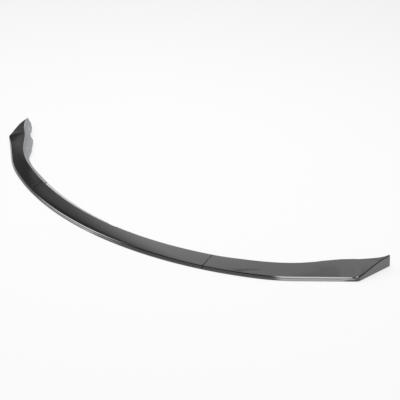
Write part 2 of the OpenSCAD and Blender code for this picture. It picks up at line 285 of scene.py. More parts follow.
class Lip:
    """Half of the lip by distance along its lower outer edge, measured from the middle.

    The edge is an arc, a tighter arc, a straight, a small corner arc and a straight, stretched a
    little in X and Y so that its ends meet the overall sizes. A rib line runs inward from each of
    its points and carries the cross-section.
    """

    def __init__(self, sizes):
        self.sizes = sizes
        self.nose_c = np.array([0, NOSE_R])
        self.shoulder_c = on_arc(self.nose_c, NOSE_R - SHOULDER_R, NOSE_SWEEP)
        self.wing_start = on_arc(self.shoulder_c, SHOULDER_R, WING_SWEEP)
        corner = self.wing_start + WING_L*heading_vector(WING_SWEEP)
        self.corner_c = corner + CORNER_R*heading_vector(WING_SWEEP + 90)
        self.return_start = on_arc(self.corner_c, CORNER_R, RETURN_SWEEP)
        tip = self.return_start + RETURN_L*heading_vector(RETURN_SWEEP)
        self.stretch = np.array([sizes.width/2, sizes.depth])/tip

        self.nose_end = NOSE_R*math.radians(NOSE_SWEEP)
        self.shoulder_end = self.nose_end + SHOULDER_R*math.radians(WING_SWEEP - NOSE_SWEEP)
        self.wing_end = self.shoulder_end + WING_L
        self.corner_end = self.wing_end + CORNER_R*math.radians(RETURN_SWEEP - WING_SWEEP)
        self.end = self.corner_end + RETURN_L
        self.seam = self.at_x(sizes.seam)
        seam_turn = self.seam/NOSE_R
        self.seam_heading = math.atan2(
            self.stretch[1]*math.sin(seam_turn), self.stretch[0]*math.cos(seam_turn))
        self.set_knots(sizes)

    def set_knots(self, sizes):
        """Knots of every size that changes along the edge, as (distance, value).

        The lists with shares hold the share of the way along a stretch and the share of the change
        that is reached there.
        """
        end, wing_w, ledge = self.end, CORNER_W - WAIST_W, sizes.tip_ledge
        self.rib_turns = [
            (0, 0), (self.seam, 0), (self.nose_end, NOSE_SWEEP), (self.shoulder_end, WING_SWEEP),
            (self.on_return(0.06), (WING_SWEEP + RETURN_SWEEP)/2),
            (self.on_return(0.56), RETURN_SWEEP + LEDGE_TURN), (end, RETURN_SWEEP + TIP_TURN)]
        on_wing = [(0.32, 0.2), (0.63, 0.65), (1, 1)]
        on_return = [(0.06, 0.98), (0.12, 0.92), (0.27, 0.69), (0.43, 0.49), (0.59, 0.3),
                     (0.74, 0.14), (0.87, 0.04), (1, 0)]
        self.rib_lengths = [
            (0, sizes.band_width), (self.seam, sizes.band_width/math.cos(self.seam_heading)),
            (self.nose_end, NOSE_END_W), (self.shoulder_end, WAIST_W),
            *[(self.shoulder_end + u*WING_L, WAIST_W + k*wing_w) for u, k in on_wing],
            *[(self.on_return(u), ledge + k*(CORNER_W - ledge)) for u, k in on_return]]
        edge_rise = sizes.wing_edge - sizes.nose_edge
        on_nose = [(0, 0), (self.seam, 0.13), (self.nose_end, 0.5), (self.shoulder_end, 0.66),
                   (self.wing_end, 1)]
        self.edge_heights = [
            *[(s, sizes.nose_edge + k*edge_rise) for s, k in on_nose], (end, sizes.tip_height)]
        wall_rise = sizes.tip_height - TIP_FALL - sizes.front_height
        climb = [(-0.35, 0), (-0.1, 0.03), (0.06, 0.17), (0.2, 0.29), (0.35, 0.51), (0.5, 0.72),
                 (0.65, 0.89), (0.8, 0.96), (1, 1)]
        self.wall_heights = [(self.on_return(u), sizes.front_height + k*wall_rise) for u, k in climb]
        self.wall_leans = [
            (self.on_return(-0.35), sizes.front_lean), (self.on_return(0.2), -FLARE),
            (self.on_return(0.4), -FLARE), (end, TIP_LEAN)]
        self.grooves = [(self.on_return(-0.1), sizes.groove), (self.on_return(0.15), 0), (end, 0)]
        self.flange_widths = [
            (self.seam, FLANGE_W), (end - NECK_AT[0], NECK_W), (end - NECK_AT[1], NECK_W),
            (end - LUG_AT[0], LUG_W), (end - LUG_AT[1], LUG_W), (end - RELIEF_AT, RELIEF_W),
            (end - TAB_AT[0], TAB_W), (end - TAB_AT[1], TAB_W), (end, TAB_END_W)]
        self.drops = [(self.seam, SEAT_DROP), (end - LUG_AT[0], WING_DROP), (end, WING_DROP)]
        self.runs = [(end - RELIEF_AT, SEAT_RUN), (end, TIP_RUN)]

    def on_return(self, share):
        """Distance at a share of the way from the corner's start to the tip."""
        return self.wing_end + share*(self.end - self.wing_end)

    def at_x(self, x):
        """Distance at which the nose's edge lies x from the middle: r asin(x/r)."""
        return NOSE_R*math.asin(x/float(self.stretch[0])/NOSE_R)

    def edge(self, s):
        """Points of the lower outer edge."""
        s = np.asarray(s, float)[..., None]
        nose = on_arc(self.nose_c, NOSE_R, np.degrees(s[..., 0]/NOSE_R))
        shoulder = on_arc(self.shoulder_c, SHOULDER_R,
                          NOSE_SWEEP + np.degrees((s[..., 0] - self.nose_end)/SHOULDER_R))
        wing = self.wing_start + heading_vector(WING_SWEEP)*(s - self.shoulder_end)
        corner = on_arc(self.corner_c, CORNER_R,
                        WING_SWEEP + np.degrees((s[..., 0] - self.wing_end)/CORNER_R))
        back = self.return_start + heading_vector(RETURN_SWEEP)*(s - self.corner_end)
        limits = [self.nose_end, self.shoulder_end, self.wing_end, self.corner_end]
        plan = np.select([np.broadcast_to(s <= limit, nose.shape) for limit in limits],
                         [nose, shoulder, wing, corner], back)
        return plan*self.stretch - [0, self.sizes.depth/2]

    def place(self, s, inward, up):
        """Points in space, a distance inward along the rib line and up, raked on the returns."""
        s = np.asarray(s, float)
        rib = heading_vector(curve(self.rib_turns, s) + 90)
        base = self.edge(s)
        if inward.ndim > s.ndim:
            s, rib, base = s[:, None], rib[:, None], base[:, None]
        plan = base + inward[..., None]*rib
        share = np.maximum(0, s - self.corner_end)/RETURN_L
        rake = TIP_RAKE*share*up/self.sizes.tip_height
        return np.stack([plan[..., 0], plan[..., 1] - rake, up + 0*plan[..., 0]], -1)

    def flange_height(self, s):
        """Height of the flange's upper face."""
        return curve(self.edge_heights, s) - curve(self.drops, s)


# Cross-section

def rounded(a, b, c, size, steps):
    """Rounds corner b of a-b-c by the curve (1-t)^2 p + 2t(1-t) b + t^2 q, p and q being size away."""
    p = b + (a - b)/np.linalg.norm(a - b, axis=-1, keepdims=True)*size[:, None]
    q = b + (c - b)/np.linalg.norm(c - b, axis=-1, keepdims=True)*size[:, None]
    t = np.linspace(0, 1, steps + 1)[None, :, None]
    return (1 - t)**2*p[:, None] + 2*t*(1 - t)*b[:, None] + t*t*q[:, None]


def run(p, q, shares):
    """Points p + (q - p) t at the given shares t of a straight run."""
    t = np.array(shares)[None, :, None]
    return p[:, None] + (q - p)[:, None]*t


def inset(a, b, c, t):
    """The point t away from both sides of the corner b of a path a-b-c."""
    u = (a - b)/np.linalg.norm(a - b, axis=-1, keepdims=True)
    v = (c - b)/np.linalg.norm(c - b, axis=-1, keepdims=True)
    return b + (u + v)*t/np.abs(cross2(u, v))[:, None]


# Columns of the front wall, as shares of its height; most of them lie across the groove
WALL_SHARES = np.concatenate([[0.14, 0.28], GROOVE_AT + GROOVE_HALF*np.linspace(-1, 1, 11)])
# Columns of the band, the step and the flange, as shares of their widths
BAND_SHARES = np.linspace(0, 1, 22)[1:-1]
STEP_SHARES = [0.1, 0.5, 0.9]
FLANGE_SHARES = [0.1, 0.4, 0.7, 0.93]
ARC_STEPS = {"toe": 3, "crease": 8, "edge": 7, "foot": 5, "rim": 3}
# Columns of the outer skin at which the crease's rounding ends and at which the gloss ends, which
# is halfway round the inner edge; behind it the faces take the light grey painted reflection
CREASE_TO = ARC_STEPS["toe"] + 1 + len(WALL_SHARES) + ARC_STEPS["crease"] + 1
GLOSS_TO = CREASE_TO + len(BAND_SHARES) + (ARC_STEPS["edge"] + 1)//2


def front_wall(toe, crease, dip):
    """The front wall with its groove: depth dip (1 + cos(pi d))/2 at a distance d, in half widths."""
    d = np.clip((WALL_SHARES - GROOVE_AT)/GROOVE_HALF, -1, 1)
    u = (crease - toe)/np.linalg.norm(crease - toe, axis=-1, keepdims=True)
    square = np.stack([u[:, 1], -u[:, 0]], -1)
    depth = dip[:, None]*(1 + np.cos(np.pi*d))/2
    return run(toe, crease, WALL_SHARES) + depth[..., None]*square[:, None]


def skin(under, corners, below, arc_sizes, rise, dip):
    """One skin of the shell: straight runs between rounded corners, with a crowned band."""
    toe, crease, edge, foot, rim = corners
    path = [under, toe, crease, edge, foot, rim, below]
    arcs = [rounded(path[i], path[i + 1], path[i + 2], arc_sizes[i], steps)
            for i, steps in enumerate(ARC_STEPS.values())]
    band = run(arcs[1][:, -1], arcs[2][:, 0], BAND_SHARES)
    band[..., 1] += rise[:, None]*4*BAND_SHARES*(1 - BAND_SHARES)
    return np.concatenate([
        arcs[0], front_wall(toe, crease, dip), arcs[1], band, arcs[2],
        run(arcs[2][:, -1], arcs[3][:, 0], STEP_SHARES), arcs[3],
        run(arcs[3][:, -1], arcs[4][:, 0], FLANGE_SHARES), arcs[4],
    ], 1)


def cross_sections(lip, s):
    """Closed cross-sections: points by station and column, (inward, up), out and back inside."""
    t = lip.sizes.wall
    b = curve(lip.rib_lengths, s)
    z = curve(lip.edge_heights, s)
    h = curve(lip.wall_heights, s)
    seat = lip.flange_height(s)
    zero = np.zeros_like(s)

    def pair(x, y):
        return np.stack([x, y], -1)

    toe = pair(zero, zero)
    crease = pair(curve(lip.wall_leans, s), h)
    edge = pair(b, z)
    foot = pair(b + curve(lip.runs, s), seat)
    rim = pair(b + curve(lip.flange_widths, s), seat)
    inner = [pair(t*np.linalg.norm(crease, axis=-1)/h, zero), inset(toe, crease, edge, t),
             inset(crease, edge, foot, t), inset(edge, foot, rim, -t), rim - [0, t]]
    outer = [toe, crease, edge, foot, rim]
    band_l = np.linalg.norm(edge - crease, axis=-1)
    rise = CROWN*np.minimum(1, band_l/lip.sizes.band_width)
    dip = curve(lip.grooves, s)
    small = zero + LIP_SIZE
    crease_size = np.minimum(CREASE_SIZE, ROUND_SHARE*band_l)
    edge_size = np.minimum(EDGE_SIZE, ROUND_SHARE*band_l)
    foot_size = np.minimum(FOOT_SIZE, ROUND_SHARE*np.linalg.norm(rim - foot, axis=-1))
    outer_sizes = (small, crease_size, edge_size, foot_size, small)
    inner_sizes = (small, crease_size*INNER_ROUND, edge_size*INNER_ROUND, foot_size, small)
    top = skin(inner[0], outer, inner[4], outer_sizes, rise, dip)
    under = skin(toe, inner, rim, inner_sizes, rise, dip)
    return np.concatenate([top, under[:, ::-1]], 1)


def end_offset(s, ends):
    """Depth of the rounding near the ends: r - sqrt(r^2 - (r - d)^2) at distance d < r from one."""
    d = np.min([np.abs(s - e) for e in ends], 0)
    d = np.minimum(d, END_ROUND)
    return END_ROUND - np.sqrt(END_ROUND**2 - (END_ROUND - d)**2)


def shell_rings(lip, s, ends):
    """Rings of the shell in space, drawn in a little towards its rounded ends."""
    profile = cross_sections(lip, s)
    tangent = np.roll(profile, -1, 1) - np.roll(profile, 1, 1)
    length = np.linalg.norm(tangent, axis=-1, keepdims=True)
    normal = np.stack([-tangent[..., 1], tangent[..., 0]], -1)/np.maximum(length, 1e-9)
    profile = profile - normal*end_offset(s, ends)[:, None, None]
    return lip.place(s, profile[..., 0], profile[..., 1])


def with_round_ends(s, ends):
    """Adds stations close to each end: at r (1 - cos a) for its rounding, and where the matt ends."""
    steps = END_ROUND*(1 - np.cos(np.radians(END_ANGLES)))
    extra = [e + sign*np.append(steps, SEAM_SHADE_LAP) for e, sign in ends]
    return np.unique(np.concatenate([s, *extra]))


def ring_faces(rings):
    """Quads of a tube of rings and its two end strips, turned outwards."""
    n_rings, n = rings.shape[:2]
    i, j = np.meshgrid(np.arange(n_rings - 1), np.arange(n), indexing="ij")
    k = (j + 1) % n
    side = np.stack([i*n + j, i*n + k, (i + 1)*n + k, (i + 1)*n + j], -1).reshape(-1, 4)
    j = np.arange(n//2 - 1)
    start = np.stack([j, n - 1 - j, n - 2 - j, j + 1], -1)
    end = start[:, ::-1] + (n_rings - 1)*n
    return side, np.concatenate([start, end])


def add_object(name, data):
    """Makes an object and puts it in the scene."""
    thing = bpy.data.objects.new(name, data)
    bpy.context.scene.collection.objects.link(thing)
    return thing


def mesh_object(name, points, faces, slots, materials):
    """An object at the origin from points and faces, with its material slots."""
    mesh = bpy.data.meshes.new(name)
    mesh.from_pydata(points.tolist(), [], faces.tolist())
    for material in materials:
        mesh.materials.append(material)
    mesh.polygons.foreach_set("material_index", np.asarray(slots, np.int32))
    return add_object(name, mesh)


def face_slots(lip, s, seams, count):
    """Slots of a section's faces: 0 gloss up to the inner edge, 1 light grey behind it, 2 matt at a
    seam.

    The light grey is a painted reflection of the white surroundings in the black moulding, and the
    matt black is painted shade of the gap between sections. Over the last stretch before a tip the
    gloss's edge runs out to the crease. The matt black laps a little onto the light grey flange beside
    a seam.
    """
    grey = np.clip((s - (lip.end - TIP_GREY))/TIP_GREY, 0, 1)
    limit = GLOSS_TO + (CREASE_TO - GLOSS_TO)*grey
    # Faces past the gloss get the light grey painted reflection
    slots = np.where(np.arange(count)[None, :] < limit[:, None], 0, 1)
    middle = (s[:-1] + s[1:])/2
    distance = np.min([np.abs(middle - e) for e in seams], 0)[:, None]
    slots = slots[:-1]
    # Faces at an end, and grey faces beside a seam, get the matt black painted seam shade
    return np.where((distance < END_ROUND) | (distance < SEAM_SHADE_LAP) & (slots == 1), 2, slots)


def section_mesh(lip, name, s, ends, seams, materials, both_sides=False, flip=False):
    """A lofted section of the right half; both_sides adds its mirror image, flip makes it the left."""
    rings = shell_rings(lip, s, [e for e, _ in ends])
    slots = face_slots(lip, s, seams, rings.shape[1])
    if both_sides:
        rings = np.concatenate([rings[:0:-1]*[-1, 1, 1], rings])
        slots = np.concatenate([slots[::-1], slots])
    side, caps = ring_faces(rings)
    faces = np.concatenate([side, caps])
    # The end caps get the matt black painted seam shade
    slots = np.concatenate([slots.reshape(-1), np.full(len(caps), 2)])
    points = rings.reshape(-1, 3)
    if flip:
        points = points*[-1, 1, 1]
        faces = faces[:, ::-1]
    return mesh_object(name, points, faces, slots, materials)


# Closed shapes that are added to the shells or cut out of them

def prism(ring, low, high):
    """A closed prism over a ring of points (a, b) that runs anticlockwise, as (a, b, height)."""
    n = len(ring)
    j = np.arange(n)
    k = (j + 1) % n
    walls = np.stack([j, k, k + n, j + n], -1).tolist()
    faces = walls + [list(range(n - 1, -1, -1)), list(range(n, 2*n))]
    points = np.concatenate([np.column_stack([ring, np.full(n, h)]) for h in (low, high)])
    return points, faces


def stadium(radius, travel=0.0):
    """Two half circles joined by straights: (r cos a + sign(cos a) travel/2, r sin a)."""
    a = np.linspace(0, 2*np.pi, CIRCLE_STEPS, endpoint=False)
    side = np.sign(np.round(np.cos(a), 6))
    return np.stack([radius*np.cos(a) + travel/2*side, radius*np.sin(a)], -1)


def rounded_rectangle(x0, x1, y0, y1, radius):
    """A rectangle whose corners are quarter circles of the given radius."""
    a = np.radians(np.arange(0, 91, CORNER_TURN))
    arcs = []
    for index, (x, y) in enumerate(((x1, y1), (x0, y1), (x0, y0), (x1, y0))):
        centre = [x - radius*np.sign(x - x0 - 1e-9), y - radius*np.sign(y - y0 - 1e-9)]
        turn = a + index*np.pi/2
        arcs.append(centre + radius*np.stack([np.cos(turn), np.sin(turn)], -1))
    return np.concatenate(arcs)


def set_in_plan(shape, place, turn):
    """Turns a shape about the vertical by degrees and moves it to a place in plan."""
    points, faces = shape
    x_axis = heading_vector(turn)
    y_axis = heading_vector(turn + 90)
    plan = place + points[:, :1]*x_axis + points[:, 1:2]*y_axis
    return np.column_stack([plan, points[:, 2]]), faces


def mirrored(shape):
    """The mirror image of a shape about the car's middle plane, its faces turned back outwards."""
    points, faces = shape
    return points*[-1, 1, 1], [face[::-1] for face in faces]


def combine(piece, shapes, operation):
    """Adds closed shapes to a piece, or cuts them out, by one exact Boolean; none may overlap."""
    points = np.concatenate([p for p, _ in shapes])
    starts = np.cumsum([0] + [len(p) for p, _ in shapes[:-1]])
    faces = [[v + int(start) for v in face]
             for start, (_, some) in zip(starts, shapes) for face in some]
    mesh = bpy.data.meshes.new("tool")
    mesh.from_pydata(points.tolist(), [], faces)
    for material in piece.data.materials:
        mesh.materials.append(material)
    mesh.polygons.foreach_set("material_index", np.ones(len(faces), np.int32))
    tool = add_object("tool", mesh)
    change = piece.modifiers.new("combine", "BOOLEAN")
    change.operation = operation
    change.solver = "EXACT"
    change.object = tool
    bpy.context.view_layer.update()
    evaluated = piece.evaluated_get(bpy.context.evaluated_depsgraph_get())
    result = bpy.data.meshes.new_from_object(evaluated)
    piece.modifiers.clear()
    old = piece.data
    name = old.name
    piece.data = result
    bpy.data.meshes.remove(old)
    bpy.data.objects.remove(tool)
    bpy.data.meshes.remove(mesh)
    result.name = name


def smooth(mesh):
    """Smooth shading, with sharp edges where two faces meet at more than the sharp angle."""
    mesh.shade_smooth()
    mesh.set_sharp_from_angle(angle=math.radians(SHARP_ANGLE))
    mesh.update()


def flange_opening(lip, s, travel=0.0):
    """A cutter for a round hole or a slot, on the flange's middle line."""
    inward = curve(lip.rib_lengths, s) + (curve(lip.runs, s) + curve(lip.flange_widths, s))/2
    x, y, top = lip.place(np.array(s), inward, lip.flange_height(s))
    cutter = prism(stadium(HOLE_R, travel), top - OPENING_BELOW, top + OPENING_ABOVE)
    return set_in_plan(cutter, [x, y], float(curve(lip.rib_turns, s)))


class Joint:
    """The lap joint under a seam, in the seam's frame: X towards the tip, Y inward."""

    def __init__(self, lip):
        self.lip = lip
        self.middle = lip.sizes.band_width/2
        self.top = TONGUE_Z + lip.sizes.wall
        self.front = self.middle - TONGUE_W/2
        self.back = self.middle + TONGUE_W/2
        self.screw_x = TONGUE_L - BOSS_BACK

    def set_at_seam(self, shape):
        """Puts a shape from the seam's frame into its place."""
        y = float(self.lip.edge(self.lip.seam)[1])
        return set_in_plan(shape, [self.lip.sizes.seam, y], math.degrees(self.lip.seam_heading))

    def band_middle(self, y):
        """Height of the middle of the band's wall: a straight line plus its crown."""
        sizes = self.lip.sizes
        t = (y - sizes.front_lean)/(sizes.band_width - sizes.front_lean)
        rise = curve(self.lip.edge_heights, self.lip.seam) - sizes.front_height
        return sizes.front_height + rise*t + CROWN*4*t*(1 - t) - sizes.wall/2

    def tongue(self):
        """The flat tongue, with rounded corners."""
        ring = rounded_rectangle(-ROOT_BACK, TONGUE_L, self.front, self.back, PLAN_ROUND)
        return self.set_at_seam(prism(ring, TONGUE_Z, self.top))

    def rib(self):
        """The cross rib that the tongue hangs from: a prism along X over its (Y, Z) outline."""
        across = np.linspace(self.back, self.front, 9)
        top = np.stack([across, self.band_middle(across)], -1)
        low = TONGUE_Z + BITE
        ring = np.concatenate([[[self.front + BITE, low], [self.back - BITE, low]], top])
        points, faces = prism(ring, -ROOT_BACK + BITE, -ROOT_BACK + RIB_T)
        return self.set_at_seam((points[:, [2, 0, 1]], faces))

    def round_shapes(self, radius, low, high):
        """Two upright cylinders at the screws' places."""
        shapes = []
        for y in (self.middle - SCREW_PITCH/2, self.middle + SCREW_PITCH/2):
            cylinder = prism(stadium(radius), low, high(y))
            shapes.append(self.set_at_seam(set_in_plan(cylinder, [self.screw_x, y], 0)))
        return shapes

    def screw_holes(self):
        """Clearance holes for the screws in the tongue."""
        return self.round_shapes(SCREW_HOLE_R, TONGUE_Z - CUT_OUT, lambda y: self.top + CUT_OUT)

    def bosses(self):
        """Bosses from the tongue up into the band's wall."""
        return self.round_shapes(BOSS_R, self.top, self.band_middle)

    def pilots(self):
        """Pilot holes in the bosses."""
        return self.round_shapes(PILOT_R, self.top - CUT_OUT, lambda y: self.top + PILOT_DEPTH)


# Materials

def fill_sockets(tree, node, values):
    """Fills a node's sockets with values or links."""
    for key, value in values.items():
        if isinstance(value, bpy.types.NodeSocket):
            tree.links.new(value, node.inputs[key])
        else:
            node.inputs[key].default_value = value


def add_node(tree, kind, inputs=None, **settings):
    """Adds one node, sets its settings and fills its sockets with values or links."""
    node = tree.nodes.new(kind)
    for key, value in settings.items():
        setattr(node, key, value)
    fill_sockets(tree, node, inputs or {})
    return node


def empty_tree(owner):
    """Turns on a material's or world's nodes and clears them."""
    owner.use_nodes = True
    owner.node_tree.nodes.clear()
    return owner.node_tree


def new_material(name):
    """An empty node material with a Principled shader and its output."""
    material = bpy.data.materials.new(name)
    tree = empty_tree(material)
    shader = add_node(tree, "ShaderNodeBsdfPrincipled")
    add_node(tree, "ShaderNodeOutputMaterial", {"Surface": shader.outputs["BSDF"]})
    return material, tree, shader


def noise(tree, size, **inputs):
    """Noise in the object's own space, with features of the given size."""
    place = add_node(tree, "ShaderNodeTexCoord")
    node = add_node(tree, "ShaderNodeTexNoise", {
        "Vector": place.outputs["Object"], "Scale": 1/size, **inputs})
    return node.outputs["Fac"]


def spread(tree, value, low, high):
    """Maps the usual range of a noise, 0.3 to 0.7, to low to high."""
    node = add_node(tree, "ShaderNodeMapRange", {
        "Value": value, "From Min": 0.3, "From Max": 0.7, "To Min": low, "To Max": high})
    return node.outputs["Result"]


def tint(tree, value, colour, low, high):
    """Fades from a colour times low to the colour times high, 1 at most, as a value goes 0 to 1."""
    dark, pale = (tuple(min(1, k*c) for c in colour) + (1,) for k in (low, high))
    node = add_node(tree, "ShaderNodeMix", {0: value, 6: dark, 7: pale}, data_type="RGBA")
    return node.outputs[2]


def bump(tree, height, strength, distance):
    """A bump of a given distance in metres between heights 0 and 1."""
    node = add_node(tree, "ShaderNodeBump", {
        "Height": height, "Strength": strength, "Distance": distance})
    return node.outputs["Normal"]


def gloss_black_paint(finish):
    """Two-pack black paint, sprayed and left unpolished: mirror gloss over a faint orange peel."""
    material, tree, shader = new_material("gloss_black_paint")
    # Orange peel of sprayed paint has waves of about 6 mm, a few thousandths of a millimetre high
    peel = noise(tree, 6*MM, Detail=1.0, Roughness=0.4)
    # Haze of fine dust and wiping, in soft clouds of about 60 mm
    haze = noise(tree, 60*MM, Detail=4.0, Roughness=0.6)
    fill_sockets(tree, shader, {
        "Base Color": tint(tree, haze, finish.paint, 0.8, 1.25),
        "Roughness": spread(tree, haze, 0.7*finish.paint_roughness, 1.5*finish.paint_roughness),
        "Normal": bump(tree, peel, 0.35, 0.02*MM),
        "IOR": 1.5, "Coat Weight": 1.0, "Coat Roughness": 0.03, "Coat IOR": 1.5})
    return material


def matt_black_painted_seam_shade(finish):
    """The sections' ends and the flange beside a seam: matt black that paints the shade in the gaps,
    with a dry, uneven mist.
    """
    material, tree, shader = new_material("matt_black_painted_seam_shade")
    # Dry spray mist has grains of about 0.1 mm, drawn at 0.5 mm so that they show up close
    mist = noise(tree, 0.5*MM, Detail=2.0)
    fill_sockets(tree, shader, {
        "Base Color": tint(tree, mist, finish.edge, 0.6, 1.4),
        "Roughness": spread(tree, mist, 0.6, 0.85), "Specular IOR Level": 0.2})
    return material


def satin_abs(name, colour, roughness):
    """Injection-moulded satin ABS with a fine spark-eroded grain and faint flow marks; its light grey
    is a painted reflection of the white surroundings in the black moulding.
    """
    material, tree, shader = new_material(name)
    # The mould's grain is about 0.3 mm, drawn at 1.2 mm so that it shows at all
    grain = noise(tree, 1.2*MM, Detail=2.0, Roughness=0.5)
    flow = noise(tree, 35*MM, Detail=3.0, Distortion=0.6)
    fill_sockets(tree, shader, {
        "Base Color": tint(tree, flow, colour, 0.78, 1.2),
        "Roughness": spread(tree, flow, 0.85*roughness, 1.15*roughness),
        "Normal": bump(tree, grain, 0.25, 0.05*MM), "IOR": 1.53})
    return material


def painted_reflection_grey(finish):
    """The side sections' light grey: a painted reflection on their flanges and the faces behind the
    gloss.
    """
    return satin_abs("painted_reflection_grey", finish.plastic, finish.plastic_roughness)


def centre_painted_reflection_grey(finish):
    """The centre section's light grey painted reflection, paler than the sides'."""
    return satin_abs("centre_painted_reflection_grey", finish.centre_plastic, finish.plastic_roughness)


def zinc_plated_steel(finish):
    """Cold-headed steel screws with clear zinc plating: bright metal with fine, dull marks."""
    material, tree, shader = new_material("zinc_plated_steel")
    marks = noise(tree, 1.5*MM, Detail=3.0)
    fill_sockets(tree, shader, {
        "Base Color": tuple(finish.zinc) + (1,), "Metallic": 1.0,
        "Roughness": spread(tree, marks, 0.22, 0.4)})
    return material


def section_materials(finish, grey):
    """The three finishes of a section, each made once: gloss, the given light grey painted reflection,
    matt black painted seam shade.
    """
    makers = (gloss_black_paint, grey, matt_black_painted_seam_shade)
    return [bpy.data.materials.get(make.__name__) or make(finish) for make in makers]


# Studio

WHITE = (1, 1, 1, 1)

# Radius of the dome that reflections see, and the spacing of its points in degrees
DOME_R = 6.0
DOME_STEP = 2.0

# Patches of what the gloss mirrors: (from, to, softness) in azimuth from +X and in elevation
ARCH = ((190, 312, 6), (19, 66, 6))
FLAG = ((-29, 48, 4), (0, 62, 10))
STRIP = ((169, 206, 3), (36, 60, 6))
BEAM = ((-15, 50, 24), (61, 75, 7))
# The dark corner goes all the way up
CORNER = (128, 200, 6)
# Elevation at which the walls begin to turn into the ceiling, and over how many degrees they do
CEILING_FROM = 54
CEILING_RAMP = 14
# How much darker the beam is than the ceiling
BEAM_DEPTH = 0.45
# Degrees that a softbox's slanted edge leans for each degree up, and how much brighter its top is
BOX_SLANT = 0.25
BOX_GAIN = 0.6

# Half the floor's side, and how far it lies below the part
FLOOR_HALF = 14.0
FLOOR_DROP = 0.2*MM
# Distance over which the floor's added white fades beside the part, how open the floor is where
# it begins and where it is full, and its largest share
FLOOR_NEAR = 30*MM
FLOOR_OPEN = (0.15, 0.5)
FLOOR_WHITE = 0.75

# The camera: degrees round from the nose and up, place and focal length in mm on a 36 mm sensor
CAMERA_ROUND = 38.69
CAMERA_UP = 29.38
CAMERA_PLACE = (1.8703, -1.9890, 1.5736)
CAMERA_LENS = 75.78


def softbox(name, place, target, width, height, brightness):
    """An area lamp turned to a target, as bright as given: power = brightness pi width height."""
    lamp = bpy.data.lights.new(name, "AREA")
    lamp.shape = "RECTANGLE"
    lamp.size = width
    lamp.size_y = height
    lamp.energy = brightness*math.pi*width*height
    thing = add_object(name, lamp)
    thing.location = place
    thing.rotation_euler = (Vector(place) - Vector(target)).to_track_quat("Z", "Y").to_euler()
    thing.visible_camera = False
    thing.visible_glossy = False


def ease(t):
    """0 below 0, 1 above 1 and 3t^2 - 2t^3 between."""
    t = np.clip(t, 0, 1)
    return t*t*(3 - 2*t)


def window(x, low, high, soft):
    """1 between low and high and 0 outside, with edges 3t^2 - 2t^3 that are soft wide."""
    return ease((x - low + soft/2)/soft)*ease((high - x + soft/2)/soft)


def patch(azimuth, elevation, spans):
    """1 in a patch of the surroundings and 0 outside; its azimuth may run through 0."""
    (start, stop, soft), up = spans
    middle, half = (start + stop)/2, (stop - start)/2
    turn = (azimuth - middle + 180) % 360 - 180
    return window(turn, -half, half, soft)*window(elevation, *up)


def surroundings(azimuth, elevation, studio):
    """Brightness of what the gloss mirrors, by direction in degrees, azimuth 0 to 360 from +X.

    Pale walls turn into a brighter ceiling. A dark arch hangs over the front and a dark flag stands
    at the right. A dark corner at the back left fades out upwards, with a dark strip beside it at
    the left. A beam crosses the ceiling at the right. Two softboxes, brighter at the top, stand in
    front.
    """
    def within(spans):
        return patch(azimuth, elevation, spans)

    ceiling = ease((elevation - CEILING_FROM)/CEILING_RAMP)
    glow = studio.walls + (studio.ceiling - studio.walls)*ceiling
    glow = glow + (studio.shade - glow)*np.maximum(within(ARCH), within(FLAG))
    # The corner pales along a slant, with one paler field higher up and a faint one low down
    corner = (studio.shade + (studio.ceiling - studio.shade)*ease((elevation - azimuth + 124)/40)
              + 0.25*ease((elevation - 29)/7)*ease((178 - azimuth)/16)
              + 0.12*ease((26 - elevation)/6)*ease((167 - azimuth)/4))
    glow = glow + (np.minimum(corner, studio.ceiling) - glow)*window(azimuth, *CORNER)
    glow = glow + (studio.shade - glow)*within(STRIP)
    glow = glow - BEAM_DEPTH*within(BEAM)
    # The left softbox's left edge and the right one's right edge slant to the right as they go up
    lean = BOX_SLANT*elevation
    left = window(azimuth, 201 + lean, 231, 4)*ease((49.5 - elevation)/5)
    right = ease((azimuth - 306)/4)*ease((325 + lean - azimuth)/3)*ease((63.5 - elevation)/5)
    front = studio.front*(1 + BOX_GAIN*ease((elevation - 14)/14))
    return glow + (front - glow)*np.maximum(left, right)


def reflection_dome(studio):
    """A half sphere round the studio that only reflections see, lit as the surroundings are."""
    azimuth, elevation = np.meshgrid(
        np.arange(0, 360, DOME_STEP), np.arange(0, 90 + DOME_STEP, DOME_STEP), indexing="ij")
    a, e = np.radians(azimuth), np.radians(elevation)
    points = DOME_R*np.stack([np.cos(a)*np.cos(e), np.sin(a)*np.cos(e), np.sin(e)], -1)
    n_a, n_e = azimuth.shape
    i, j = np.meshgrid(np.arange(n_a), np.arange(n_e - 1), indexing="ij")
    k = (i + 1) % n_a
    faces = np.stack([i*n_e + j, i*n_e + j + 1, k*n_e + j + 1, k*n_e + j], -1).reshape(-1, 4)
    mesh = bpy.data.meshes.new("reflection_dome")
    mesh.from_pydata(points.reshape(-1, 3).tolist(), [], faces.tolist())
    values = surroundings(azimuth, elevation, studio).reshape(-1).astype(np.float32)
    mesh.attributes.new("glow", "FLOAT", "POINT").data.foreach_set("value", values)
    material = bpy.data.materials.new("studio_surroundings")
    tree = empty_tree(material)
    read = add_node(tree, "ShaderNodeAttribute", attribute_name="glow")
    light = add_node(tree, "ShaderNodeEmission", {"Color": WHITE, "Strength": read.outputs["Fac"]})
    add_node(tree, "ShaderNodeOutputMaterial", {"Surface": light.outputs["Emission"]})
    mesh.materials.append(material)
    dome = add_object("reflection_dome", mesh)
    for kind in ("camera", "diffuse", "transmission", "volume_scatter", "shadow"):
        setattr(dome, "visible_" + kind, False)


def seen_rays(tree):
    """1 for camera, glossy and transmission rays and 0 for all others."""
    path = add_node(tree, "ShaderNodeLightPath")
    seen = path.outputs["Is Camera Ray"]
    for kind in ("Is Glossy Ray", "Is Transmission Ray"):
        seen = add_node(tree, "ShaderNodeMath", {0: seen, 1: path.outputs[kind]},
                        operation="MAXIMUM").outputs[0]
    return seen


